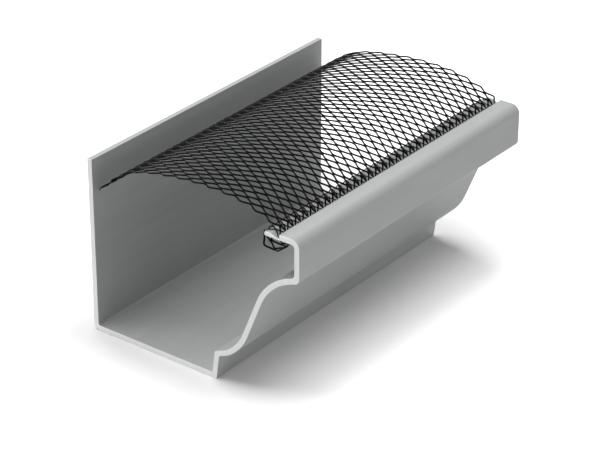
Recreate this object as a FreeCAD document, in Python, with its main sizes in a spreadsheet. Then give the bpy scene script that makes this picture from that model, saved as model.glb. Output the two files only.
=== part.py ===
import FreeCAD, Part
import math
import os
import Sketcher

# A length of front-moulded eaves gutter with its bowed expanded-metal guard locked onto the lip.
# X runs from the back wall to the front, Y along the gutter and Z up.
# The origin is the middle of the rectangle that the assembly covers, on the surface that it stands on.

doc = FreeCAD.newDocument("gutter_guard")

SIZES = [
    ("gutter_length", 182.4, "length of the cut sample"),
    ("gutter_depth", 127.0, "back face to front face"),
    ("back_height", 93.6, "height of the back wall"),
    ("wall", 2.8, "thickness of the gutter metal"),
    ("back_corner_radius", 4.0, "outer bend from back wall to floor"),
    ("floor_depth", 77.7, "back face to the foot of the step"),
    ("step_height", 13.1, "rise of the step in front of the floor"),
    ("step_lean", 1.6, "how far the step leans forward"),
    ("ledge_depth", 5.3, "ledge from the step to the moulding, forward"),
    ("ledge_rise", 2.2, "ledge from the step to the moulding, upward"),
    ("bulge_depth", 11.9, "lower curve of the moulding, forward"),
    ("bulge_height", 14.1, "lower curve of the moulding, upward"),
    ("slope_angle", 67.9, "slope of the straight middle of the moulding"),
    ("slope_length", 22.7, "length of that straight middle"),
    ("hollow_depth", 17.7, "upper curve of the moulding, forward"),
    ("hollow_height", 16.5, "upper curve of the moulding, upward"),
    ("brow_angle", 18.0, "slope of the short run from the upper curve to the front face"),
    ("brow_radius", 3.0, "outer round where that run meets the front face"),
    ("bend_radius", 1.2, "round on both sides of the metal at the foot and the top of the step"),
    ("lip_height", 90.1, "top of the lip above the floor's underside"),
    ("lip_width", 20.0, "front face to the tip of the lip"),
    ("lip_corner_radius", 4.6, "outer bend from the front face to the lip"),
    ("tip_radius", 1.2, "round on the two edges of the lip's tip"),
    ("sheet_thickness", 0.8, "thickness of the expanded sheet"),
    ("short_pitch", 5.67, "diamond pitch along the gutter"),
    ("long_pitch", 8.8, "nominal diamond pitch across the gutter"),
    ("first_bond", 1.4, "first bond on the fold, from the near end"),
    ("bond_width", 1.27, "bond between two strands, along the gutter"),
    ("bond_length", 1.2, "bond between two strands, across the gutter"),
    ("bow_rise", 15.5, "rise of the bow above the straight line between its feet"),
    ("foot_height", 76.6, "height of the bow's back foot"),
    ("fold_setback", 11.4, "front face to the fold that rests on the lip"),
    ("seat_gap", 0.2, "clearance between the guard and the gutter"),
    ("fold_opening", 3.0, "angle between the bow and the layer folded back beneath it"),
    ("curl_side", 4.6, "flat between two bends of the curl"),
    ("curl_turn", 44.0, "bend between two flats of the curl"),
    ("tail_slope", 42.0, "slope of the cut end beneath the lip"),
]

sheet = doc.addObject("Spreadsheet::Sheet", "Sizes")
for row, (alias, value, meaning) in enumerate(SIZES, start=1):
    sheet.set(f"A{row}", meaning)
    sheet.set(f"B{row}", str(value))
    sheet.setAlias(f"B{row}", alias)
doc.recompute()


def size(alias):
    """A driving dimension, read from the sheet."""
    return float(sheet.get(alias))


# Sketches are drawn from the back face and the near end, and this moves them to the origin.
SHIFT = FreeCAD.Vector(-size("gutter_depth") / 2, -size("gutter_length") / 2, 0)


def point(x, z):
    """A point of a sketch, whose own axes are x and y."""
    return FreeCAD.Vector(x, z, 0)


def close_loop(sketch, corners):
    """Draws a closed outline of straight lines through the corners."""
    start = sketch.GeometryCount
    for here, there in zip(corners, corners[1:] + corners[:1]):
        sketch.addGeometry(Part.LineSegment(here, there))
    count = len(corners)
    for step in range(count):
        this_line = start + step
        next_line = start + (step + 1) % count
        sketch.addConstraint(Sketcher.Constraint("Coincident", this_line, 2, next_line, 1))


def upright_sketch(name, start=SHIFT):
    """A sketch that stands upright across the gutter, with its own zero at the given place."""
    sketch = doc.addObject("Sketcher::SketchObject", name)
    sketch.Placement = FreeCAD.Placement(start, FreeCAD.Rotation(FreeCAD.Vector(1, 0, 0), 90))
    return sketch


def drawn_along(name, section):
    """A section carried along the whole length of the gutter."""
    solid = doc.addObject("Part::Extrusion", name)
    solid.Base = section
    solid.DirMode = "Custom"
    solid.Dir = FreeCAD.Vector(0, 1, 0)
    solid.Solid = True
    solid.setExpression("LengthFwd", "Sizes.gutter_length")
    return solid


# The gutter section

def gutter_section():
    """The outer line of the section, from the top of the back wall round to the tip of the lip."""
    sketch = upright_sketch("section_line")
    depth = size("gutter_depth")
    lip = size("lip_height")
    corner = size("back_corner_radius")
    lip_corner = size("lip_corner_radius")
    slope = math.radians(size("slope_angle"))
    brow = math.radians(size("brow_angle"))

    top = point(0, size("back_height"))
    back_end = point(0, corner)
    floor_start = point(corner, 0)
    step_foot = point(size("floor_depth"), 0)
    step_top = step_foot + point(size("step_lean"), size("step_height"))
    ledge_end = step_top + point(size("ledge_depth"), size("ledge_rise"))
    slope_foot = ledge_end + point(size("bulge_depth"), size("bulge_height"))
    along = point(math.cos(slope), math.sin(slope))
    slope_head = slope_foot + along * size("slope_length")
    brow_start = slope_head + point(size("hollow_depth"), size("hollow_height"))
    brow_end = brow_start + point(1, math.tan(brow)) * (depth - brow_start.x)
    face_top = point(depth, lip - lip_corner)
    lip_start = point(depth - lip_corner, lip)
    tip = point(depth - size("lip_width"), lip)

    def quarter(start, end, centre):
        """A round bend whose middle lies on the far side of the centre."""
        half = (start + end) * 0.5 - centre
        middle = centre + half * ((start - centre).Length / half.Length)
        return Part.Arc(start, middle, end)

    def tangent_arc(start, end, tangent_at_start, side):
        """An arc from start to end that leaves start along the given direction."""
        chord = end - start
        normal = point(-tangent_at_start.y, tangent_at_start.x) * side
        radius = chord.Length ** 2 / (2 * chord.dot(normal))
        centre = start + normal * radius
        half = (start + end) * 0.5 - centre
        middle = centre + half * (abs(radius) / half.Length)
        return Part.Arc(start, middle, end)

    sketch.addGeometry(Part.LineSegment(top, back_end))
    sketch.addGeometry(quarter(back_end, floor_start, point(corner, corner)))
    sketch.addGeometry(Part.LineSegment(floor_start, step_foot))
    sketch.addGeometry(Part.LineSegment(step_foot, step_top))
    sketch.addGeometry(Part.LineSegment(step_top, ledge_end))
    sketch.addGeometry(tangent_arc(slope_foot, ledge_end, along * -1, -1))
    sketch.addGeometry(Part.LineSegment(slope_foot, slope_head))
    sketch.addGeometry(tangent_arc(slope_head, brow_start, along, -1))
    sketch.addGeometry(Part.LineSegment(brow_start, brow_end))
    sketch.addGeometry(Part.LineSegment(brow_end, face_top))
    sketch.addGeometry(quarter(face_top, lip_start, point(depth - lip_corner, lip - lip_corner)))
    sketch.addGeometry(Part.LineSegment(lip_start, tip))
    return sketch, (step_foot, step_top, brow_end, tip)


section_line, (step_foot, step_top, brow_end, lip_tip) = gutter_section()

section = doc.addObject("Part::Offset2D", "section")
section.Source = section_line
section.Mode = "Skin"
section.Join = "Intersection"
section.Fill = True
section.setExpression("Value", "Sizes.wall")

drawn_trough = drawn_along("drawn_trough", section)
doc.recompute()


def edges_along(shape, corner, reach):
    """Numbers of the edges that run along the gutter within reach of a corner of the section."""
    found = []
    for number, edge in enumerate(shape.Edges, start=1):
        start = edge.Vertexes[0].Point - SHIFT
        end = edge.Vertexes[-1].Point - SHIFT
        runs_along = math.hypot(start.x - end.x, start.z - end.z) < 1e-6
        if runs_along and math.hypot(start.x - corner.x, start.z - corner.y) < reach:
            found.append(number)
    return found


# Both sides of the metal are rounded at each corner, so the reach takes in the inner edge too.
both_sides = 1.7 * size("wall")
gutter_trough = doc.addObject("Part::Fillet", "gutter_trough")
gutter_trough.Base = drawn_trough
rounds = [
    (step_foot, size("bend_radius")),
    (step_top, size("bend_radius")),
    (brow_end, size("brow_radius")),
    (lip_tip, size("tip_radius")),
]
gutter_trough.Edges = [
    (number, radius, radius)
    for corner, radius in rounds
    for number in edges_along(drawn_trough.Shape, corner, both_sides)
]
gutter_trough.Label = "gutter_trough"
doc.recompute()


# The guard: where the bow starts, ends and is centred

thickness = size("sheet_thickness")
length = size("gutter_length")
lip_top = size("lip_height")
fold = point(size("gutter_depth") - size("fold_setback"), lip_top + size("seat_gap") + thickness)
foot = point(size("wall") + size("seat_gap") + thickness, size("foot_height"))
chord = fold - foot
across = point(-chord.y, chord.x) * (1 / chord.Length)
bow_rise = size("bow_rise")
under_radius = (chord.Length ** 2 / 4 + bow_rise ** 2) / (2 * bow_rise)
middle_radius = under_radius + thickness / 2
centre = (fold + foot) * 0.5 - across * (under_radius - bow_rise)
back_angle = math.atan2(foot.x - centre.x, foot.y - centre.y)
front_angle = math.atan2(fold.x - centre.x, fold.y - centre.y)

# The bow is split into panels of the same number of rows.
PANELS = 3
bow_length = middle_radius * (front_angle - back_angle)
rows = round(2 * bow_length / PANELS / size("long_pitch"))
panel_angle = (front_angle - back_angle) / PANELS
row_angle = panel_angle / rows
row_length = middle_radius * row_angle

half_width = (size("short_pitch") - size("bond_width")) / 2
half_bond = size("bond_length") / 2
gutter_run = FreeCAD.Vector(0, 1, 0)
punch_reach = 1.5 * thickness


def hole_middles(starts_on_bond):
    """Places along the gutter of the holes on one row line."""
    pitch = size("short_pitch")
    first = size("first_bond") + (pitch / 2 if starts_on_bond else 0)
    count = math.floor((length - first) / pitch) + 1
    return [first + pitch * number for number in range(count)]


def half_hole(middle, starts_on_bond, flat, past_base):
    """
    The outline of half a diamond, from its row line at zero to the bond at the end of the flat.
    The sheet ends in a zigzag of whole strands, so a hole next to either end is open to the outside.
    The outline runs a little past the bond, and past the row line where the sheet is bent there.
    """
    middles = hole_middles(starts_on_bond)
    tip = (flat - half_bond, middle)
    opens_near = middle == middles[0] and not starts_on_bond
    opens_far = middle == middles[-1] and starts_on_bond
    if opens_near or opens_far:
        side = -1 if opens_near else 1
        outside = -row_length if opens_near else length + row_length
        closed_side = middle - side * half_width
        bond_side = middle + side * size("bond_width") / 2
        past_bond = flat + thickness
        outline = [(-past_base, closed_side), (0, closed_side), tip, (flat, bond_side)]
        outline += [(past_bond, bond_side), (past_bond, outside), (-past_base, outside)]
    else:
        outline = [(-past_base, middle - half_width), (0, middle - half_width), tip]
        outline += [(0, middle + half_width), (-past_base, middle + half_width)]
    return outline


def punch(outline, place):
    """A tool that cuts one hole through the sheet, drawn flat about the middle of the sheet."""
    corners = []
    for u, v in outline:
        corner = FreeCAD.Vector(u, v, -punch_reach)
        if not corners or (corner - corners[-1]).Length > 1e-6:
            corners.append(corner)
    if (corners[0] - corners[-1]).Length < 1e-6:
        corners.pop()
    face = Part.Face(Part.makePolygon(corners + corners[:1]))
    tool = face.extrude(FreeCAD.Vector(0, 0, 2 * punch_reach))
    tool.Placement = place
    return tool


def punched(name, sheet_solid, punches):
    """The sheet with all its holes cut at once."""
    tools = doc.addObject("Part::Feature", f"{name}_punches")
    tools.Shape = Part.makeCompound(punches)
    cut = doc.addObject("Part::Cut", name)
    cut.Base = sheet_solid
    cut.Tool = tools
    cut.Refine = False
    return cut


# The bow

def on_circle(radius, turn):
    """A point of the bow, turned clockwise from straight up."""
    return point(radius * math.sin(turn), radius * math.cos(turn))


def bent_strip():
    """The panel's section: one flat for each row of strands, between the under and upper sides."""
    turns = [row * row_angle for row in range(rows + 1)]
    upper = [on_circle(under_radius + thickness, turn) for turn in turns]
    under = [on_circle(under_radius, turn) for turn in reversed(turns)]
    return upper + under


def diamond_punches(starts_on_bond):
    """Whole diamonds centred on each row line of a panel; the ones on its ends are shared."""
    punches = []
    for row in range(rows + 1):
        turn = row * row_angle
        place = FreeCAD.Placement(
            FreeCAD.Vector(middle_radius * math.sin(turn), 0, middle_radius * math.cos(turn)),
            FreeCAD.Rotation(gutter_run, math.degrees(turn)),
        )
        on_bond = starts_on_bond == (row % 2 == 0)
        for middle in hole_middles(on_bond):
            half = half_hole(middle, on_bond, row_length, 0)
            mirrored = [(-u, v) for u, v in reversed(half)]
            punches.append(punch(half + mirrored, place))
    return punches


def panel_model(name, starts_on_bond):
    """A panel at the top of the circle, which begins there and runs to the front."""
    outline = upright_sketch(f"{name}_section", start=FreeCAD.Vector())
    close_loop(outline, bent_strip())
    return punched(name, drawn_along(f"{name}_sheet", outline), diamond_punches(starts_on_bond))


def bow_panel(number):
    """One panel of the bow: each one starts where the one behind it ends."""
    rows_to_fold = (PANELS - number + 1) * rows
    start_angle = back_angle + (number - 1) * panel_angle
    body = doc.addObject("PartDesign::Body", f"bow_panel_{number}")
    clone = doc.addObject("PartDesign::FeatureBase", f"panel_clone_{number}")
    body.Group = [clone]
    clone.BaseFeature = panel_models[rows_to_fold % 2 == 0]
    body.Tip = clone
    body.Label = f"bow_panel_{number}"
    body.Placement = FreeCAD.Placement(
        SHIFT + FreeCAD.Vector(centre.x, 0, centre.y),
        FreeCAD.Rotation(gutter_run, math.degrees(start_angle)),
    )
    return body


# The bonds of neighbouring rows are half a pitch apart, so a panel can begin in two ways.
panel_models = {
    True: panel_model("panel_from_bond", True),
    False: panel_model("panel_from_hole", False),
}
doc.recompute()
bow_panels = [bow_panel(number) for number in range(1, PANELS + 1)]


# The lock edge: the sheet folds back on itself on the lip and curls round the lip's tip

CURL_FLATS = 6


def turn_between(before, after):
    """The bend from one heading to the next, left is positive."""
    return math.atan2(math.sin(after - before), math.cos(after - before))


def step_along(heading, distance):
    """A move of the given distance along a heading."""
    return point(math.cos(heading), math.sin(heading)) * distance


def curl_headings():
    """One heading for each flat: back beneath the bow, round the tip, and up beneath the lip."""
    last_bow_flat = front_angle - row_angle / 2
    first = math.pi - last_bow_flat + math.radians(size("fold_opening"))
    curl = [first + number * math.radians(size("curl_turn")) for number in range(CURL_FLATS)]
    return curl + [math.radians(size("tail_slope"))]


def curl_path(headings):
    """The middle of the folded sheet, with a corner at each row of bonds."""
    path = [fold + step_along(headings[0] + math.pi / 2, thickness / 2)]
    for heading in headings:
        path.append(path[-1] + step_along(heading, size("curl_side")))
    return path


def mitred_side(path, headings, offset):
    """The path moved to its left by the offset, with its corners mitred."""
    moved = []
    for index, corner in enumerate(path):
        before = headings[max(index - 1, 0)]
        after = headings[min(index, len(headings) - 1)]
        half_turn = turn_between(before, after) / 2
        left = before + half_turn + math.pi / 2
        moved.append(corner + step_along(left, offset / math.cos(half_turn)))
    return moved


def fold_round(heading):
    """The round of the fold, from the end of the bow to the first flat beneath it."""
    end_turn = 2 * math.pi - heading
    start = fold + on_circle(thickness, front_angle)
    middle = fold + on_circle(thickness, (front_angle + end_turn) / 2)
    end = fold + on_circle(thickness, end_turn)
    sketch = upright_sketch("fold_section")
    sketch.addGeometry(Part.Arc(start, middle, end))
    sketch.addGeometry(Part.LineSegment(end, fold))
    sketch.addGeometry(Part.LineSegment(fold, start))
    place = FreeCAD.Placement(SHIFT + FreeCAD.Vector(fold.x, 0, fold.y), FreeCAD.Rotation())
    bonds = [middle - size("short_pitch") / 2 for middle in hole_middles(starts_on_bond=True)]
    gap_ends = [bonds[0] - size("short_pitch")] + bonds
    gap_starts = bonds + [length + row_length]
    punches = []
    for before, after in zip(gap_ends, gap_starts):
        low = before + size("bond_width") / 2
        high = after - size("bond_width") / 2
        outline = [(-punch_reach, low), (punch_reach, low), (punch_reach, high), (-punch_reach, high)]
        punches.append(punch(outline, place))
    return punched("fold_bonds", drawn_along("fold_sheet", sketch), punches)


def flat_punches(index, corner, heading):
    """Half diamonds from both ends of one flat."""
    flat = size("curl_side")
    from_start = FreeCAD.Placement(
        SHIFT + FreeCAD.Vector(corner.x, 0, corner.y),
        FreeCAD.Rotation(gutter_run, -math.degrees(heading)),
    )
    punches = []
    for at_end in (False, True):
        on_bond = (index + at_end) % 2 == 0
        for middle in hole_middles(on_bond):
            outline = half_hole(middle, on_bond, flat, thickness)
            if at_end:
                outline = [(flat - u, v) for u, v in reversed(outline)]
            punches.append(punch(outline, from_start))
    return punches


def lock_flats(path, headings):
    """The flats between the bends, each with mitred ends, so that their holes meet in the bends."""
    lip_side = mitred_side(path, headings, thickness / 2)
    far_side = mitred_side(path, headings, -thickness / 2)
    flats = []
    for index, heading in enumerate(headings):
        outline = upright_sketch(f"flat_section_{index}")
        near_corners = [lip_side[index], lip_side[index + 1]]
        close_loop(outline, near_corners + [far_side[index + 1], far_side[index]])
        flat_sheet = drawn_along(f"flat_sheet_{index}", outline)
        punches = flat_punches(index, path[index], heading)
        flats.append(punched(f"lock_flat_{index}", flat_sheet, punches))
    return flats


lock_headings = curl_headings()
lock_path = curl_path(lock_headings)
lock_edge = doc.addObject("Part::MultiFuse", "lock_edge")
lock_edge.Shapes = [fold_round(lock_headings[0])] + lock_flats(lock_path, lock_headings)
lock_edge.Refine = False
lock_edge.Label = "lock_edge"
doc.recompute()


# Every piece is checked before any is written

pieces = [gutter_trough, lock_edge] + bow_panels
for item in doc.Objects:
    if "Invalid" in item.State or "Error" in item.State:
        raise RuntimeError(f"{item.Name} did not build")
for piece in pieces:
    shape = piece.Shape
    if shape.isNull() or not shape.isValid():
        raise RuntimeError(f"{piece.Label} has no valid shape")
    print(piece.Label, len(shape.Solids), round(shape.Volume, 3), shape.BoundBox)

os.makedirs("parts", exist_ok=True)
for piece in pieces:
    piece.Shape.exportStep(f"parts/{piece.Label}.step")
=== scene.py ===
# %% [markdown]
# # A bowed mesh guard locked onto a length of eaves gutter
# The object is a short sample of metal roof gutter with a leaf guard fitted into its open top.
# It is only two pieces. The gutter is one bent strip of grey painted metal. The guard is one sheet
# of black expanded metal, which stands bowed between the back wall and the front lip.
# This lesson starts from the construction model of the part, measures it, and then builds the
# surfaces that the picture needs: rounded bends, bare cut ends and real twisted strands.

import math

import bmesh
import bpy
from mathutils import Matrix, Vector


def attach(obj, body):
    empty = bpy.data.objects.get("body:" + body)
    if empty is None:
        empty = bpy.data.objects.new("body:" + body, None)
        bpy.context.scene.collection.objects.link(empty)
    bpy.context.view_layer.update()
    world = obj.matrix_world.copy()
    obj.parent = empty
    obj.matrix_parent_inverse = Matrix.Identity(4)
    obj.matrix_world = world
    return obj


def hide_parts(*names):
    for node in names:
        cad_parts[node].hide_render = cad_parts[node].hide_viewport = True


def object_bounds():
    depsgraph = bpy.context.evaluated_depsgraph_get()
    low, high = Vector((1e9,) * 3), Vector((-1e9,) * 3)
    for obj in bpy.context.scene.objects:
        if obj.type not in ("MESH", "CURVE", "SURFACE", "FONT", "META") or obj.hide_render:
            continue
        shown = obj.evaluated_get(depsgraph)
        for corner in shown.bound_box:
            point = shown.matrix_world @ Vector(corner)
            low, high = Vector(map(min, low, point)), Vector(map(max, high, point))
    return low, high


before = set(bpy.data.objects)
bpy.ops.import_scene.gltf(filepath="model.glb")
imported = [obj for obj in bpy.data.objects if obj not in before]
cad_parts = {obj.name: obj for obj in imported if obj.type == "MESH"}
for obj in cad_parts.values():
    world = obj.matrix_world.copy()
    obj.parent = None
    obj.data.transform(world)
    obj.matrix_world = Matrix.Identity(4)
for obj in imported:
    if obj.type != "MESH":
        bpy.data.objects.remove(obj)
cad_low, cad_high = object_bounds()
print("nodes:", sorted(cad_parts))
print("size in mm:", [round(1000 * side, 1) for side in cad_high - cad_low])

# %% [markdown]
# ## Sizes
# X runs from the back wall to the front, Y along the gutter and Z up, and the zero is the middle of
# the base. Lengths are easier to read in millimetres, so every size is written that way and turned
# into metres by one factor. Positions across the gutter are measured from its back face, and
# positions along it from the near end, as somebody with a ruler would do.

# %% Name the sizes
MM = 0.001
BACK_FACE = cad_low.x
NEAR_END = cad_low.y
GUTTER_LENGTH = (cad_high.y - cad_low.y) / MM
TOP = cad_high.z / MM
print("length", round(GUTTER_LENGTH, 1), "mm, top of the bow", round(TOP, 1), "mm")

# %% [markdown]
# ## Materials
# A flat colour looks like plastic, so each surface is built from what covers it.
# The gutter is roll formed from painted strip: a satin grey coat with a very fine grain and faint
# lines that run along the length, where the rollers pressed it. The lines come from noise that is
# stretched along Y. The grain is the same effect on several coats, so it is a node group.
# Node trees are wordy to write, so a few small helpers come first.

# %% Make helpers that add and join nodes
def link(tree, value, socket):
    """Joins a socket to another one, or writes a plain value into it."""
    if isinstance(value, bpy.types.NodeSocket):
        tree.links.new(value, socket)
    else:
        socket.default_value = value


def add(tree, kind, settings=None, **inputs):
    """A new node with its settings and its named inputs filled in."""
    node = tree.nodes.new(kind)
    for name, value in (settings or {}).items():
        setattr(node, name, value)
    for name, value in inputs.items():
        link(tree, value, node.inputs[name.replace("_", " ")])
    return node


def calculate(tree, operation, *values):
    """One step of arithmetic."""
    node = add(tree, "ShaderNodeMath", {"operation": operation})
    for value, socket in zip(values, node.inputs):
        link(tree, value, socket)
    return node.outputs["Value"]


def mapped(tree, value, limits, settings=None):
    """A value moved from one range to another; limits are both ranges, low and high."""
    node = add(tree, "ShaderNodeMapRange", settings, Value=value)
    for name, limit in zip(("From Min", "From Max", "To Min", "To Max"), limits):
        node.inputs[name].default_value = limit
    return node.outputs["Result"]


# %% Make a shared node group for fine grain
GRAIN_DETAIL = 3.0
NOISE_LOW, NOISE_HIGH = 0.3, 0.7


def grain_group():
    """Object position in, noise out: stretch makes the grain long in one direction."""
    group = bpy.data.node_groups.new("grain", "ShaderNodeTree")
    group.interface.new_socket("Scale", in_out="INPUT", socket_type="NodeSocketFloat")
    group.interface.new_socket("Stretch", in_out="INPUT", socket_type="NodeSocketVector")
    group.interface.new_socket("Value", in_out="OUTPUT", socket_type="NodeSocketFloat")
    start = group.nodes.new("NodeGroupInput")
    end = group.nodes.new("NodeGroupOutput")
    where = group.nodes.new("ShaderNodeTexCoord")
    squeezed = add(group, "ShaderNodeVectorMath", {"operation": "MULTIPLY"})
    group.links.new(where.outputs["Object"], squeezed.inputs[0])
    group.links.new(start.outputs["Stretch"], squeezed.inputs[1])
    noise = add(group, "ShaderNodeTexNoise", Vector=squeezed.outputs[0], Scale=start.outputs["Scale"])
    noise.inputs["Detail"].default_value = GRAIN_DETAIL
    group.links.new(noise.outputs["Fac"], end.inputs["Value"])
    return group


GRAIN = grain_group()
print("node group", GRAIN.name, "with", len(GRAIN.nodes), "nodes")

# %% Make helpers that place the grain in a material
def grain(tree, scale, stretch):
    """One use of the grain group."""
    node = tree.nodes.new("ShaderNodeGroup")
    node.node_tree = GRAIN
    node.inputs["Scale"].default_value = scale
    node.inputs["Stretch"].default_value = stretch
    return node.outputs["Value"]


def spread(tree, value, low, high):
    """Maps the middle of a noise value to a range."""
    return mapped(tree, value, (NOISE_LOW, NOISE_HIGH, low, high))


def roughen(tree, shader, height, strength, distance):
    """A fine relief on a surface; the distance is in metres."""
    bump = add(tree, "ShaderNodeBump", Height=height)
    bump.inputs["Strength"].default_value = strength
    bump.inputs["Distance"].default_value = distance
    link(tree, bump.outputs["Normal"], shader.inputs["Normal"])


def new_material(name):
    """A material with only a surface shader, and that shader."""
    material = bpy.data.materials.new(name)
    material.use_nodes = True
    return material, material.node_tree, material.node_tree.nodes["Principled BSDF"]


# %% Paint the gutter grey
RED_SHARE, BLUE_SHARE = 0.968, 0.982


def gutter_paint():
    """Satin coat on roll-formed strip, a grey with a trace of green."""
    material, tree, shader = new_material("gutter paint")
    fine = grain(tree, 900.0, (1.0, 1.0, 1.0))
    lines = grain(tree, 260.0, (1.0, 0.03, 1.0))
    cloud = grain(tree, 30.0, (1.0, 0.6, 1.0))
    shade = calculate(tree, "ADD", spread(tree, cloud, -0.012, 0.012), spread(tree, lines, 0.455, 0.485))
    red = calculate(tree, "MULTIPLY", shade, RED_SHARE)
    blue = calculate(tree, "MULTIPLY", shade, BLUE_SHARE)
    colour = add(tree, "ShaderNodeCombineColor", Red=red, Green=shade, Blue=blue)
    link(tree, colour.outputs["Color"], shader.inputs["Base Color"])
    link(tree, spread(tree, fine, 0.40, 0.50), shader.inputs["Roughness"])
    roughen(tree, shader, fine, 0.12, 0.04 * MM)
    return material


GUTTER_PAINT = gutter_paint()
print("made", GUTTER_PAINT.name)

# %% [markdown]
# The two ends of the gutter were cut through, so they show bare metal: bright, with the marks of
# the saw running up and down. The marks are noise stretched along Z.

# %% Make the bare metal of the cut ends
def cut_metal():
    """Sawn metal without its coat."""
    material, tree, shader = new_material("cut metal")
    marks = grain(tree, 2500.0, (1.0, 1.0, 0.05))
    fine = grain(tree, 4000.0, (1.0, 1.0, 1.0))
    shade = spread(tree, marks, 0.78, 0.90)
    colour = add(tree, "ShaderNodeCombineColor", Red=shade, Green=shade, Blue=shade)
    link(tree, colour.outputs["Color"], shader.inputs["Base Color"])
    shader.inputs["Metallic"].default_value = 0.7
    link(tree, spread(tree, fine, 0.42, 0.58), shader.inputs["Roughness"])
    roughen(tree, shader, marks, 0.25, 0.03 * MM)
    return material


CUT_METAL = cut_metal()
print("made", CUT_METAL.name)

# %% [markdown]
# The guard was dipped or sprayed after the sheet was expanded, so its coat runs over every edge.
# It is black and satin. A strand that is seen face on stays nearly black, and one that is seen at a
# flat angle mirrors the light room, which makes the twisted strands readable.

# %% Make the black coat of the guard
FACE_ON, FLAT_VIEW = 0.55, 0.96
DULL, SHINY = 0.03, 0.70


def guard_coat():
    """Black satin coat."""
    material, tree, shader = new_material("guard coat")
    fine = grain(tree, 1500.0, (1.0, 1.0, 1.0))
    cloud = grain(tree, 120.0, (1.0, 1.0, 1.0))
    shade = spread(tree, cloud, 0.003, 0.006)
    colour = add(tree, "ShaderNodeCombineColor", Red=shade, Green=shade, Blue=shade)
    link(tree, colour.outputs["Color"], shader.inputs["Base Color"])
    link(tree, spread(tree, fine, 0.25, 0.35), shader.inputs["Roughness"])
    turned_away = add(tree, "ShaderNodeLayerWeight", Blend=0.5).outputs["Facing"]
    sheen = mapped(tree, turned_away, (FACE_ON, FLAT_VIEW, DULL, SHINY))
    link(tree, sheen, shader.inputs["Specular IOR Level"])
    return material


GUARD_COAT = guard_coat()
print("made", GUARD_COAT.name)

# %% [markdown]
# ## The gutter
# A gutter is drawn from one strip, so one closed outline carried along Y is the whole shape.
# The outline is read off the end of the construction model, so its bends and walls are the same
# there and in the picture. Two things are added. The lip gets its strip and groove, and the ends get
# the tiny broken edge of a real cut, which catches the light: the outline shrinks by a tenth of a
# millimetre at each end before it is closed.

# %% Read the outline at the end of the gutter
def end_outline(node):
    """The closed outline at the far end of a straight node, in order, as (x, z) pairs."""
    work = bmesh.new()
    work.from_mesh(node.data)
    bmesh.ops.remove_doubles(work, verts=work.verts, dist=1e-6)
    far = max(vertex.co.y for vertex in work.verts)
    at_end = {vertex for vertex in work.verts if vertex.co.y > far - 1e-5}
    neighbours = {vertex: [] for vertex in at_end}
    for edge in work.edges:
        if set(edge.verts) <= at_end:
            caps = [face for face in edge.link_faces if set(face.verts) <= at_end]
            if len(caps) == 1:
                first, second = edge.verts
                neighbours[first].append(second)
                neighbours[second].append(first)
    start = min(at_end, key=lambda vertex: (vertex.co.x, vertex.co.z))
    outline = [start, neighbours[start][0]]
    while True:
        onward = [vertex for vertex in neighbours[outline[-1]] if vertex is not outline[-2]]
        if onward[0] is start:
            break
        outline.append(onward[0])
    corners = [Vector((vertex.co.x, vertex.co.z)) for vertex in outline]
    work.free()
    return corners


def area_of(corners):
    """Signed area of a closed outline, positive if it runs anticlockwise."""
    pairs = zip(corners, corners[1:] + corners[:1])
    return sum(here.x * there.y - there.x * here.y for here, there in pairs) / 2


OUTLINE = end_outline(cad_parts["gutter_trough"])
if area_of(OUTLINE) < 0:
    OUTLINE.reverse()
print("outline with", len(OUTLINE), "corners, metal section", round(area_of(OUTLINE) * 1e6, 1), "mm2")

# %% [markdown]
# The front of the lip is the pale band of the photograph, which ends in a crisp straight line. The
# strip behind that line lies a little lower, and a narrow groove between the two takes the fold of the
# guard. Strip and groove are pressed into the outline, so they run the whole length.

# %% Press the strip and the groove into the lip
LIP_TOP = 90.1
LIP_UNDERSIDE = 87.3
LIP_BEGINS = 100.0
BAND_LINE = 115.6
BAND_EDGE = 0.15
STRIP_DROP = 0.7
GROOVE_FLOOR = 87.8
GROOVE_FRONT = 114.0
GROOVE_BACK = 111.0
TOP_TOLERANCE = 0.01


def grooved(corners):
    """The outline with a lower strip and a groove behind the pale band of the lip."""
    strip_share = 1 - STRIP_DROP / (LIP_TOP - LIP_UNDERSIDE)
    groove = [
        (BAND_LINE + BAND_EDGE, LIP_TOP), (BAND_LINE, LIP_TOP - BAND_EDGE), (BAND_LINE, GROOVE_FLOOR),
        (GROOVE_FRONT, GROOVE_FLOOR), (GROOVE_BACK, LIP_TOP - STRIP_DROP),
    ]
    groove = [Vector((BACK_FACE + x * MM, z * MM)) for x, z in groove]
    result = []
    for here, there in zip(corners, corners[1:] + corners[:1]):
        across, ahead = (here.x - BACK_FACE) / MM, (there.x - BACK_FACE) / MM
        above = here.y / MM - LIP_UNDERSIDE
        if LIP_BEGINS < across < BAND_LINE and above > 0:
            result.append(Vector((here.x, (LIP_UNDERSIDE + above * strip_share) * MM)))
        else:
            result.append(here)
        on_top = min(here.y, there.y) > (LIP_TOP - TOP_TOLERANCE) * MM
        if on_top and (across - BAND_LINE) * (ahead - BAND_LINE) < 0:
            result += groove if across > ahead else groove[::-1]
    return result


OUTLINE = grooved(OUTLINE)
print("outline with its groove:", len(OUTLINE), "corners")

# %% Move the outline inwards for the broken edges
BROKEN_EDGE = 0.12 * MM
SHARPEST_CORNER = 0.4


def shrunk(corners, amount):
    """The outline moved inwards by the same amount on every side."""
    moved = []
    for before, here, after in zip(corners[-1:] + corners[:-1], corners, corners[1:] + corners[:1]):
        towards = (here - before).normalized()
        away = (after - here).normalized()
        inward_before = Vector((-towards.y, towards.x))
        inward_after = Vector((-away.y, away.x))
        middle = (inward_before + inward_after).normalized()
        moved.append(here + middle * (amount / max(SHARPEST_CORNER, middle.dot(inward_before))))
    return moved


END_OUTLINE = shrunk(OUTLINE, BROKEN_EDGE)
print("metal section at the very end", round(area_of(END_OUTLINE) * 1e6, 1), "mm2")

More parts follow.
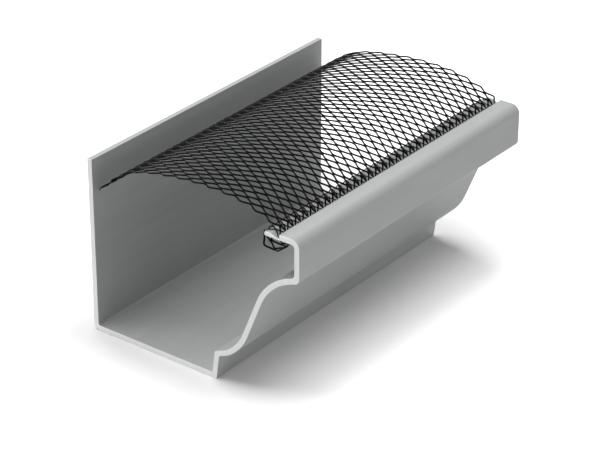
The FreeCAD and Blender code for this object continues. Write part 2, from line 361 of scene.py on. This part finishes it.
# %% Carry the outline along the gutter
COAT, BARE = 0, 1
SHARP_BEND = math.radians(24)


def drawn_gutter():
    """The whole gutter as one closed mesh, with bare metal on the two cut ends."""
    near, far = cad_low.y, cad_high.y
    stations = [
        (near, END_OUTLINE), (near + BROKEN_EDGE, OUTLINE), (far - BROKEN_EDGE, OUTLINE), (far, END_OUTLINE),
    ]
    mesh = bpy.data.meshes.new("gutter")
    work = bmesh.new()
    rings = [[work.verts.new((corner.x, y, corner.y)) for corner in ring] for y, ring in stations]
    count = len(OUTLINE)
    for ring, following, covering in zip(rings, rings[1:], (BARE, COAT, BARE)):
        for index in range(count):
            after = (index + 1) % count
            face = work.faces.new((ring[index], ring[after], following[after], following[index]))
            face.material_index = covering
    work.faces.new(rings[0][::-1]).material_index = BARE
    work.faces.new(rings[-1]).material_index = BARE
    bmesh.ops.recalc_face_normals(work, faces=work.faces)
    for face in work.faces:
        face.smooth = True
    work.to_mesh(mesh)
    work.free()
    mesh.materials.append(GUTTER_PAINT)
    mesh.materials.append(CUT_METAL)
    mesh.set_sharp_from_angle(angle=SHARP_BEND)
    gutter = bpy.data.objects.new("gutter", mesh)
    bpy.context.scene.collection.objects.link(gutter)
    return gutter


gutter = drawn_gutter()
print("gutter:", len(gutter.data.polygons), "faces")

# %% [markdown]
# ## The sheet of the guard
# Expanded metal is known by the width of its diamonds and by the width and thickness of its strands.
# The strands lean, so the sheet is much higher than the metal it was made of.

# %% Name the sizes of the sheet
DIAMOND_PITCH = 5.67
FIRST_BOND = 1.4
BONDS_IN_A_ROW = 32
BOW_ROWS = 27
LEAN = math.radians(29)
STRAND_WIDTH = 0.84
STRAND_THICKNESS = 0.42
SHEET_HEIGHT = 2 * STRAND_WIDTH * math.sin(LEAN) + STRAND_THICKNESS * math.cos(LEAN)
print("height of the expanded sheet", round(SHEET_HEIGHT, 2), "mm")

# %% [markdown]
# ## The path of the guard
# Seen from the end, the sheet follows one line: up from the back wall, over in a bow, steeply down
# into the groove of the lip, sharply back on itself, and round the tip of the lip into a hook. The
# bow is close to an arc of a circle but fuller on both flanks, most of all above the foot, as a
# springy sheet is when both its edges are held. The circle's middle comes from the foot, from the
# point where the bow would meet the edge of the pale band, and from the rise between the two.

# %% Find the circle of the bow
FOOT = Vector((3.8, 76.6))
BAND_POINT = Vector((BAND_LINE, 91.1))
BOW_RISE = 15.5
BOW_END = 113.3
ROOM_AT_TOP = 0.01

chord = BAND_POINT - FOOT
upward = Vector((-chord.y, chord.x)).normalized()
flat_radius = (chord.length ** 2 / 4 + BOW_RISE ** 2) / (2 * BOW_RISE)
CENTRE = (FOOT + BAND_POINT) / 2 - upward * (flat_radius - BOW_RISE)
BOW_RADIUS = TOP - SHEET_HEIGHT / 2 - ROOM_AT_TOP - CENTRE.y
BACK_TURN = math.atan2(FOOT.x - CENTRE.x, FOOT.y - CENTRE.y)
FRONT_TURN = math.asin((BOW_END - CENTRE.x) / BOW_RADIUS)
print("bow radius", round(BOW_RADIUS, 2), "mm, centre", [round(value, 2) for value in CENTRE])

# %% Draw the bow
REAR_FULLNESS = 2.4
REAR_SKEW = 1.6
FRONT_FULLNESS = 0.55
BOW_STEPS = 400


def bow_point(turn):
    """A point of the bow; turn is the angle from straight up, positive to the front."""
    if turn < 0:
        fullness = REAR_FULLNESS * math.sin(math.pi * (turn / BACK_TURN) ** REAR_SKEW) ** 2
    else:
        fullness = FRONT_FULLNESS * math.sin(math.pi * turn / FRONT_TURN) ** 2
    radius = BOW_RADIUS + fullness
    return CENTRE + radius * Vector((math.sin(turn), math.cos(turn)))


def length_of(line):
    """Length of a line of points."""
    return sum((there - here).length for here, there in zip(line, line[1:]))


turns = [BACK_TURN + (FRONT_TURN - BACK_TURN) * step / BOW_STEPS for step in range(BOW_STEPS + 1)]
bow_line = [bow_point(turn) for turn in turns]
ROW_LENGTH = length_of(bow_line) / (BOW_ROWS - 1)
print("bow", round(length_of(bow_line), 1), "mm long, rows", round(ROW_LENGTH, 3), "mm apart")

# %% [markdown]
# The locked edge goes on from the end of the bow in straight steps, one for each row of strands. It
# bends at the bonds, because a bond is stiffer than the strands beside it. Each bend is a short arc,
# and the fold is the tightest of them. An arc cuts its corner off, so the steps beside the fold are a
# little longer than a row.

# %% Make a helper that rounds the corners of a path
FINE_STEP = math.radians(6)


def heading_vector(degrees):
    """A unit step in a direction."""
    return Vector((math.cos(math.radians(degrees)), math.sin(math.radians(degrees))))


def rounded(corners, radii):
    """The inner corners of a path replaced by short arcs, each with its own radius."""
    path = [corners[0]]
    for before, here, after, radius in zip(corners, corners[1:], corners[2:], radii):
        arriving = (here - before).normalized()
        leaving = (after - here).normalized()
        bend = arriving.angle_signed(leaving)
        cut = radius * math.tan(abs(bend) / 2)
        start = here - arriving * cut
        side = Vector((-arriving.y, arriving.x)) * (-1 if bend > 0 else 1)
        middle = start + side * radius
        steps = max(2, math.ceil(abs(bend) / FINE_STEP))
        spoke = start - middle
        for step in range(steps + 1):
            angle = -bend * step / steps
            turned = Vector((
                spoke.x * math.cos(angle) - spoke.y * math.sin(angle),
                spoke.x * math.sin(angle) + spoke.y * math.cos(angle),
            ))
            path.append(middle + turned)
    return path + [corners[-1]]


# %% Draw the fold and the hook
DROP_HEADING = -69.0
HOOK_HEADINGS = [153.0, 184.0, 246.0, 285.0, 335.0, 15.0, 42.0]
HOOK_TAIL = 1.0
BOW_END_RADIUS = 0.3
FOLD_RADIUS = 0.45
BEND_RADIUS = 1.2
CURL_ROWS = len(HOOK_HEADINGS)

fold_bend = math.radians((HOOK_HEADINGS[0] - DROP_HEADING) % 360)
fold_bend = min(fold_bend, 2 * math.pi - fold_bend)
fold_excess = FOLD_RADIUS * (math.tan(fold_bend / 2) - fold_bend / 2)
headings = [DROP_HEADING] + HOOK_HEADINGS
steps = [ROW_LENGTH] * len(headings)
steps[0] += fold_excess
steps[1] += fold_excess
steps[-1] += HOOK_TAIL
lock_corners = [bow_line[-2], bow_line[-1]]
for heading, step in zip(headings, steps):
    lock_corners.append(lock_corners[-1] + step * heading_vector(heading))
bends = [BOW_END_RADIUS, FOLD_RADIUS] + [BEND_RADIUS] * (CURL_ROWS - 1)
PATH = bow_line[:-2] + rounded(lock_corners, bends)
print("path", round(length_of(PATH), 1), "mm long")
print("corners after the bow", [[round(value, 1) for value in corner] for corner in lock_corners[1:]])

# %% Turn the path into a curve
def path_curve(points):
    """A curve object in the plane across the gutter, in metres."""
    data = bpy.data.curves.new("guard path", "CURVE")
    data.dimensions = "3D"
    spline = data.splines.new("POLY")
    spline.points.add(len(points) - 1)
    for target, source in zip(spline.points, points):
        target.co = (BACK_FACE + source.x * MM, 0.0, source.y * MM, 1.0)
    curve = bpy.data.objects.new("guard path", data)
    bpy.context.scene.collection.objects.link(curve)
    return curve


guard_path = path_curve(PATH)
print("curve with", len(PATH), "points")

# %% [markdown]
# ## One strand
# Expanded metal is made by slitting a sheet in staggered rows and pulling it open. Nothing is cut
# away: the sheet stretches into strands that meet two and two in short bonds. The pull also twists
# it, so every strand and every bond leans the same way, and the sheet feels rough on one side.
# The whole guard repeats two strands, one to each side of a bond. Each of them is a short bar with
# broken edges that leaves its bond straight, leans over to the next line and joins it straight.

# %% Draw the section of a strand
STRAND_EDGE = 0.09


def strand_section():
    """The eight corners of a strand cut across, width first and thickness second."""
    half_width, half_thickness = STRAND_WIDTH / 2, STRAND_THICKNESS / 2
    wide, thick = half_width - STRAND_EDGE, half_thickness - STRAND_EDGE
    return [
        (half_width, -thick), (half_width, thick), (wide, half_thickness), (-wide, half_thickness),
        (-half_width, thick), (-half_width, -thick), (-wide, -half_thickness), (wide, -half_thickness),
    ]


SECTION = strand_section()
print("section with", len(SECTION), "corners")

# %% Build the two strands
STRAND_STATIONS = [(0.0, 0.0), (0.52, 0.02), (1.10, 0.13)]
BOND_OVERLAP = 0.005


def strand(name, side):
    """A strand that leaves a bond on the given side and ends half a diamond further that way."""
    leaning = Vector((0, math.cos(LEAN), math.sin(LEAN)))
    width_step = leaning * (STRAND_WIDTH / 2 - BOND_OVERLAP)
    start = width_step * side
    end = Vector((ROW_LENGTH, side * DIAMOND_PITCH / 2, 0)) - width_step * side
    stations = STRAND_STATIONS + [(ROW_LENGTH - u, 1 - share) for u, share in reversed(STRAND_STATIONS)]
    middles = []
    for u, share in stations:
        middle = start.lerp(end, share)
        middle.x = u
        middles.append(middle)
    work = bmesh.new()
    rings = []
    for number, middle in enumerate(middles):
        if number in (0, len(middles) - 1):
            along = Vector((1, 0, 0))
        else:
            along = (middles[number + 1] - middles[number - 1]).normalized()
        across = (leaning - along * leaning.dot(along)).normalized()
        up = along.cross(across)
        corners = [middle + across * wide + up * thick for wide, thick in SECTION]
        rings.append([work.verts.new(corner * MM) for corner in corners])
    for ring, following in zip(rings, rings[1:]):
        for index in range(len(SECTION)):
            after = (index + 1) % len(SECTION)
            work.faces.new((ring[index], ring[after], following[after], following[index]))
    for face in work.faces:
        face.smooth = True
    mesh = bpy.data.meshes.new(name)
    work.to_mesh(mesh)
    work.free()
    return mesh


rising_strand = strand("strand away from the viewer", 1)
falling_strand = strand("strand towards the viewer", -1)
print("faces of one strand:", len(rising_strand.polygons))

# %% [markdown]
# ## Many strands on a path
# The strands stand on a flat grid first: one column for each row of bonds, with every other row
# moved along by half a diamond. Then the flat sheet is bent: how far a point lies across the sheet
# becomes a length along the path, and its height becomes a distance from the path. Geometry Nodes do
# both steps, so a change of the path or the pitch needs no new drawing. The tree is long, so its
# parts are written as functions that add their nodes and hand on a socket.

# %% Make helpers for places and vectors
def combine(tree, x, y, z):
    """Three numbers as one vector."""
    return add(tree, "ShaderNodeCombineXYZ", X=x, Y=y, Z=z).outputs["Vector"]


def vector_sum(tree, first, second):
    """Two vectors added."""
    node = add(tree, "ShaderNodeVectorMath", {"operation": "ADD"})
    link(tree, first, node.inputs[0])
    link(tree, second, node.inputs[1])
    return node.outputs["Vector"]


def place_now(tree):
    """The three coordinates of the point that the tree works on."""
    here = tree.nodes.new("GeometryNodeInputPosition").outputs["Position"]
    return add(tree, "ShaderNodeSeparateXYZ", Vector=here).outputs


# %% [markdown]
# The grid node centres itself, so half its width and height are added back before the row and the
# bond of each point are counted. Every other row leaves its outermost bond bare, for the reason given
# below.

# %% Stand the strands on a flat grid
SAME = 0.5


def flat_sheet(tree, given):
    """The strands of one direction on a flat grid, as one real mesh."""
    width = calculate(tree, "MULTIPLY", calculate(tree, "SUBTRACT", given["Rows"], 1.0), given["Row Length"])
    height = calculate(tree, "MULTIPLY", calculate(tree, "SUBTRACT", given["Bonds"], 1.0), given["Pitch"])
    grid = add(tree, "GeometryNodeMeshGrid", Size_X=width, Size_Y=height, Vertices_X=given["Rows"],
               Vertices_Y=given["Bonds"])
    spot = place_now(tree)
    across = calculate(tree, "ADD", spot["X"], calculate(tree, "DIVIDE", width, 2.0))
    along = calculate(tree, "ADD", spot["Y"], calculate(tree, "DIVIDE", height, 2.0))
    row = calculate(tree, "ROUND", calculate(tree, "DIVIDE", across, given["Row Length"]))
    bond = calculate(tree, "ROUND", calculate(tree, "DIVIDE", along, given["Pitch"]))
    row_kind = calculate(tree, "FLOORED_MODULO", row, 2.0)
    half_diamond = calculate(tree, "DIVIDE", given["Pitch"], 2.0)
    shift = calculate(tree, "MULTIPLY", calculate(tree, "SUBTRACT", 1.0, row_kind), half_diamond)
    from_end = calculate(tree, "ADD", calculate(tree, "ADD", along, given["First Bond"]), shift)
    same_kind = calculate(tree, "COMPARE", row_kind, given["Bare Row Kind"], SAME)
    same_bond = calculate(tree, "COMPARE", bond, given["Bare Bond"], SAME)
    wanted = calculate(tree, "SUBTRACT", 1.0, calculate(tree, "MULTIPLY", same_kind, same_bond))
    kept = add(tree, "GeometryNodeStoreNamedAttribute", {"data_type": "FLOAT", "domain": "POINT"},
               Geometry=grid.outputs["Mesh"], Name="wanted", Value=wanted)
    placed = add(tree, "GeometryNodeSetPosition", Geometry=kept.outputs["Geometry"],
                 Position=combine(tree, across, from_end, 0.0))
    chosen = add(tree, "GeometryNodeInputNamedAttribute", {"data_type": "FLOAT"}, Name="wanted")
    strands = add(tree, "GeometryNodeInstanceOnPoints", Points=placed.outputs["Geometry"],
                  Selection=chosen.outputs["Attribute"], Instance=given["Strand"])
    real = add(tree, "GeometryNodeRealizeInstances", Geometry=strands.outputs["Instances"])
    return real.outputs["Geometry"]


# %% [markdown]
# Where the sheet is folded into the groove and lies on the strip of the lip, it was pressed flat, so
# that it locks. Its height fades to less than half there and comes back in the hook.

# %% Bend the flat sheet along the path
PRESSED_BY = 0.6
PRESSING_STARTS = (BOW_ROWS - 0.8, BOW_ROWS - 0.1)
PRESSING_ENDS = (BOW_ROWS + 2.0, BOW_ROWS + 2.6)


def height_left(tree, given, across):
    """How much of the sheet's height is left at a place across it."""
    row = calculate(tree, "DIVIDE", across, given["Row Length"])
    soft = {"interpolation_type": "SMOOTHSTEP"}
    started = mapped(tree, row, (*PRESSING_STARTS, 0.0, 1.0), soft)
    ended = mapped(tree, row, (*PRESSING_ENDS, 0.0, 1.0), soft)
    pressed = calculate(tree, "MULTIPLY", calculate(tree, "SUBTRACT", started, ended), PRESSED_BY)
    return calculate(tree, "SUBTRACT", 1.0, pressed)


def bent_sheet(tree, given, flat):
    """The flat sheet laid along the path."""
    path = add(tree, "GeometryNodeObjectInfo", Object=given["Path"])
    corner = place_now(tree)
    on_path = add(tree, "GeometryNodeSampleCurve", {"mode": "LENGTH"}, Curves=path.outputs["Geometry"],
                  Length=corner["X"])
    way = add(tree, "ShaderNodeSeparateXYZ", Vector=on_path.outputs["Tangent"]).outputs
    outward = combine(tree, calculate(tree, "MULTIPLY", way["Z"], -1.0), 0.0, way["X"])
    height = calculate(tree, "MULTIPLY", corner["Z"], height_left(tree, given, corner["X"]))
    raised = add(tree, "ShaderNodeVectorMath", {"operation": "SCALE"}, Scale=height)
    link(tree, outward, raised.inputs[0])
    above = vector_sum(tree, on_path.outputs["Position"], raised.outputs["Vector"])
    place = vector_sum(tree, above, combine(tree, 0.0, corner["Y"], 0.0))
    return add(tree, "GeometryNodeSetPosition", Geometry=flat, Position=place).outputs["Geometry"]


# %% Build the node tree
def lattice_tree():
    """Strands on a grid, bent along a path."""
    tree = bpy.data.node_groups.new("bent lattice", "GeometryNodeTree")
    sockets = [
        ("Strand", "NodeSocketGeometry"), ("Path", "NodeSocketObject"), ("Material", "NodeSocketMaterial"),
        ("Rows", "NodeSocketInt"), ("Bonds", "NodeSocketInt"), ("Row Length", "NodeSocketFloat"),
        ("Pitch", "NodeSocketFloat"), ("First Bond", "NodeSocketFloat"),
        ("Bare Row Kind", "NodeSocketFloat"), ("Bare Bond", "NodeSocketFloat"),
    ]
    for name, kind in sockets:
        tree.interface.new_socket(name, in_out="INPUT", socket_type=kind)
    tree.interface.new_socket("Lattice", in_out="OUTPUT", socket_type="NodeSocketGeometry")
    given = tree.nodes.new("NodeGroupInput").outputs
    bent = bent_sheet(tree, given, flat_sheet(tree, given))
    coated = add(tree, "GeometryNodeSetMaterial", Geometry=bent, Material=given["Material"])
    result = tree.nodes.new("NodeGroupOutput").inputs["Lattice"]
    tree.links.new(coated.outputs["Geometry"], result)
    return tree


LATTICE = lattice_tree()
INPUTS = {item.name: item.identifier for item in LATTICE.interface.items_tree if item.in_out == "INPUT"}
print("node tree with", len(LATTICE.nodes), "nodes and inputs", sorted(INPUTS))

# %% [markdown]
# The two ends of the sheet are a zigzag of whole strands, with no stubs. That means that the outer
# bonds have a strand on one side only: on the near end the strand towards the viewer is missing in
# every other row, and on the far end the strand away from the viewer is missing in the rows between.
# The bonds of the row at the back wall stand half a diamond further along than those of the fold.

# %% Bend both sets of strands into place
def bent_strands(mesh, bare_row_kind, bare_bond):
    """The strands of one direction, as a plain mesh."""
    holder = bpy.data.objects.new(mesh.name, mesh)
    bpy.context.scene.collection.objects.link(holder)
    lattice = holder.modifiers.new("lattice", "NODES")
    lattice.node_group = LATTICE
    values = {
        "Path": guard_path,
        "Material": GUARD_COAT,
        "Rows": BOW_ROWS + CURL_ROWS,
        "Bonds": BONDS_IN_A_ROW,
        "Row Length": ROW_LENGTH * MM,
        "Pitch": DIAMOND_PITCH * MM,
        "First Bond": NEAR_END + FIRST_BOND * MM,
        "Bare Row Kind": float(bare_row_kind),
        "Bare Bond": float(bare_bond),
    }
    for name, value in values.items():
        lattice[INPUTS[name]] = value
    bpy.context.view_layer.update()
    graph = bpy.context.evaluated_depsgraph_get()
    result = bpy.data.meshes.new_from_object(holder.evaluated_get(graph), depsgraph=graph)
    bpy.data.objects.remove(holder)
    return result


rising = bent_strands(rising_strand, 0, BONDS_IN_A_ROW - 1)
falling = bent_strands(falling_strand, 1, 0)
for name, lattice, one in (("away", rising, rising_strand), ("towards", falling, falling_strand)):
    print("strands", name + ":", len(lattice.polygons) // len(one.polygons))

# %% [markdown]
# The strands now touch end to end. Welding the touching corners makes one continuous strip out of
# each line of strands, and the open ends at the back wall and in the hook are closed.

# %% Weld the strands into one sheet
WELD_DISTANCE = 0.002 * MM
SHARP_EDGE = math.radians(60)


def welded(name, meshes):
    """One object out of several meshes, with touching corners joined and open ends closed."""
    work = bmesh.new()
    for mesh in meshes:
        work.from_mesh(mesh)
    bmesh.ops.remove_doubles(work, verts=work.verts, dist=WELD_DISTANCE)
    open_edges = [edge for edge in work.edges if edge.is_boundary]
    bmesh.ops.holes_fill(work, edges=open_edges, sides=len(SECTION))
    bmesh.ops.recalc_face_normals(work, faces=work.faces)
    for face in work.faces:
        face.smooth = True
        face.material_index = 0
    mesh = bpy.data.meshes.new(name)
    work.to_mesh(mesh)
    work.free()
    mesh.materials.append(GUARD_COAT)
    mesh.set_sharp_from_angle(angle=SHARP_EDGE)
    piece = bpy.data.objects.new(name, mesh)
    bpy.context.scene.collection.objects.link(piece)
    return piece, len(open_edges)


guard, open_edges = welded("guard", [rising, falling])
bpy.data.objects.remove(guard_path)
print("guard:", len(guard.data.polygons), "faces;", open_edges, "open edges closed")

# %% [markdown]
# ## Tie the pieces to the construction model
# Each finished piece rides on the body that it belongs to, and the construction nodes that it stands for are
# hidden.

# %% Tie the pieces
GUARD_NODES = sorted(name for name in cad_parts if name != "gutter_trough")
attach(gutter, "root")
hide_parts("gutter_trough")
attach(guard, "root")
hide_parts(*GUARD_NODES)
print("guard stands for", GUARD_NODES)

# %% [markdown]
# ## Floor, light and camera
# The photograph has a white surrounding and one soft shadow in front of the gutter, so the main
# light is a large panel above and behind it. Weaker panels light the front and the near cut end.
# The front panel stands low, so the front of the gutter keeps its light off the inside of the back
# wall. The surrounding is white for what the camera and the mirror rays see, but it lights the object
# only weakly. The floor is pale and diffuse and keeps the shadow. Away from the object it glows for
# the camera only, so it runs into the white surrounding without lighting anything. Near the gutter the
# glow is held low, which paints a ring of shade around it, on top of its real shadow.

# %% Measure the distance from the gutter on the floor
BASE_DEPTH = 77.7


def distance_from_gutter(tree):
    """Distance from the rectangle that the gutter stands on, in metres."""
    half_depth = BASE_DEPTH * MM / 2
    where = tree.nodes.new("ShaderNodeTexCoord").outputs["Object"]
    for operation, value in (
        ("SUBTRACT", (BACK_FACE + half_depth, 0, 0)),
        ("ABSOLUTE", None),
        ("SUBTRACT", (half_depth, GUTTER_LENGTH * MM / 2, 0)),
        ("MAXIMUM", (0, 0, 0)),
    ):
        step = add(tree, "ShaderNodeVectorMath", {"operation": operation})
        link(tree, where, step.inputs[0])
        if value:
            step.inputs[1].default_value = value
        where = step.outputs[0]
    away = add(tree, "ShaderNodeVectorMath", {"operation": "LENGTH"})
    link(tree, where, away.inputs[0])
    return away.outputs["Value"]


# %% Lay the floor
FLOOR_REACH = 4.0
FLOOR_GAP = 0.02 * MM
# Painted shade: within this distance of the gutter's footprint the floor's camera glow is held low.
PAINTED_SHADE_REACH = 0.076
GLOW_IN_SHADOW, GLOW_OUTSIDE = 0.03, 0.88


def pale_floor():
    """A wide floor that keeps the object's shadow, with a ring of painted shade around the gutter where its
    camera glow stays low.
    """
    material, tree, shader = new_material("pale floor")
    dust = grain(tree, 12.0, (1.0, 1.0, 1.0))
    shade = spread(tree, dust, 0.89, 0.91)
    colour = add(tree, "ShaderNodeCombineColor", Red=shade, Green=shade, Blue=shade)
    link(tree, colour.outputs["Color"], shader.inputs["Base Color"])
    shader.inputs["Roughness"].default_value = 1.0
    shader.inputs["Specular IOR Level"].default_value = 0.0
    shader.inputs["Emission Color"].default_value = (1, 1, 1, 1)
    seen = tree.nodes.new("ShaderNodeLightPath").outputs["Is Camera Ray"]
    # Painted shade: the camera-only glow is low at the gutter's footprint and rises to full over a few
    # centimetres, so a grey ring surrounds the gutter beyond its real shadow.
    glow_with_painted_shade = (0.0, PAINTED_SHADE_REACH, GLOW_IN_SHADOW, GLOW_OUTSIDE)
    ring = mapped(tree, distance_from_gutter(tree), glow_with_painted_shade, {"interpolation_type": "SMOOTHSTEP"})
    link(tree, calculate(tree, "MULTIPLY", seen, ring), shader.inputs["Emission Strength"])
    mesh = bpy.data.meshes.new("floor")
    corners = [(x * FLOOR_REACH, y * FLOOR_REACH, 0) for x, y in ((-1, -1), (1, -1), (1, 1), (-1, 1))]
    mesh.from_pydata(corners, [], [(0, 1, 2, 3)])
    mesh.materials.append(material)
    floor = bpy.data.objects.new("floor", mesh)
    floor.location.z = cad_low.z - FLOOR_GAP
    bpy.context.scene.collection.objects.link(floor)
    return floor


floor = pale_floor()
print("floor", floor.dimensions[:2])

# %% Surround the object with white
def white_surrounding(strength_on_object):
    """White for the camera and for mirrored rays, weaker as a light."""
    world = bpy.data.worlds.new("surrounding")
    world.use_nodes = True
    tree = world.node_tree
    tree.nodes.clear()
    rays = tree.nodes.new("ShaderNodeLightPath").outputs
    seen_or_mirrored = calculate(tree, "MAXIMUM", rays["Is Camera Ray"], rays["Is Glossy Ray"])
    straight = calculate(tree, "MAXIMUM", seen_or_mirrored, rays["Is Transmission Ray"])
    seen = add(tree, "ShaderNodeBackground", Color=(1, 1, 1, 1), Strength=1.0)
    lighting = add(tree, "ShaderNodeBackground", Color=(1, 1, 1, 1), Strength=strength_on_object)
    mix = add(tree, "ShaderNodeMixShader", Fac=straight)
    link(tree, lighting.outputs[0], mix.inputs[1])
    link(tree, seen.outputs[0], mix.inputs[2])
    output = tree.nodes.new("ShaderNodeOutputWorld")
    link(tree, mix.outputs[0], output.inputs["Surface"])
    return world


scene = bpy.context.scene
scene.world = white_surrounding(strength_on_object=0.12)
scene.view_settings.view_transform = "Standard"
print("surrounding:", scene.world.name)

# %% Hang the panel lights
def panel_light(name, position, target, side, radiance):
    """A square soft light; radiance is how bright its face is."""
    data = bpy.data.lights.new(name, "AREA")
    data.shape = "SQUARE"
    data.size = side
    data.energy = radiance * math.pi * side * side
    lamp = bpy.data.objects.new(name, data)
    lamp.location = position
    lamp.rotation_euler = (Vector(target) - Vector(position)).to_track_quat("-Z", "Y").to_euler()
    bpy.context.scene.collection.objects.link(lamp)
    return lamp


panel_light("main panel", (-0.34, -0.06, 1.25), (0, 0, 0.04), side=1.05, radiance=4.9)
panel_light("front panel", (1.40, 0.12, 0.32), (0, 0, 0.05), side=0.55, radiance=3.8)
panel_light("near panel", (-0.25, -1.30, 0.35), (0, 0, 0.05), side=0.50, radiance=0.9)

# %% [markdown]
# The camera repeats the view of the photograph. Its place, turn and lens were worked out from the
# straight edges of the gutter there, which run in three directions at right angles.

# %% Set the camera
CAMERA_PLACE = (0.62783, -0.83088, 0.59268)
CAMERA_TURN = (62.0451, -0.1074, 37.3749)
LENS, SENSOR_WIDTH = 141.83, 36.0
NEAREST_SEEN, FARTHEST_SEEN = 0.05, 50.0

camera_data = bpy.data.cameras.new("camera")
camera_data.sensor_width = SENSOR_WIDTH
camera_data.lens = LENS
camera_data.clip_start = NEAREST_SEEN
camera_data.clip_end = FARTHEST_SEEN
camera = bpy.data.objects.new("camera", camera_data)
camera.location = CAMERA_PLACE
camera.rotation_euler = [math.radians(angle) for angle in CAMERA_TURN]
scene.collection.objects.link(camera)
scene.camera = camera
print("camera at", [round(value, 3) for value in camera.location])

# %% [markdown]
# ## Print the size and finish
# The finished pieces must fill the same box as the construction model.

# %% Print the box of the construction model and finish
print("cad  ", [round(value / MM, 2) for value in list(cad_low) + list(cad_high)])
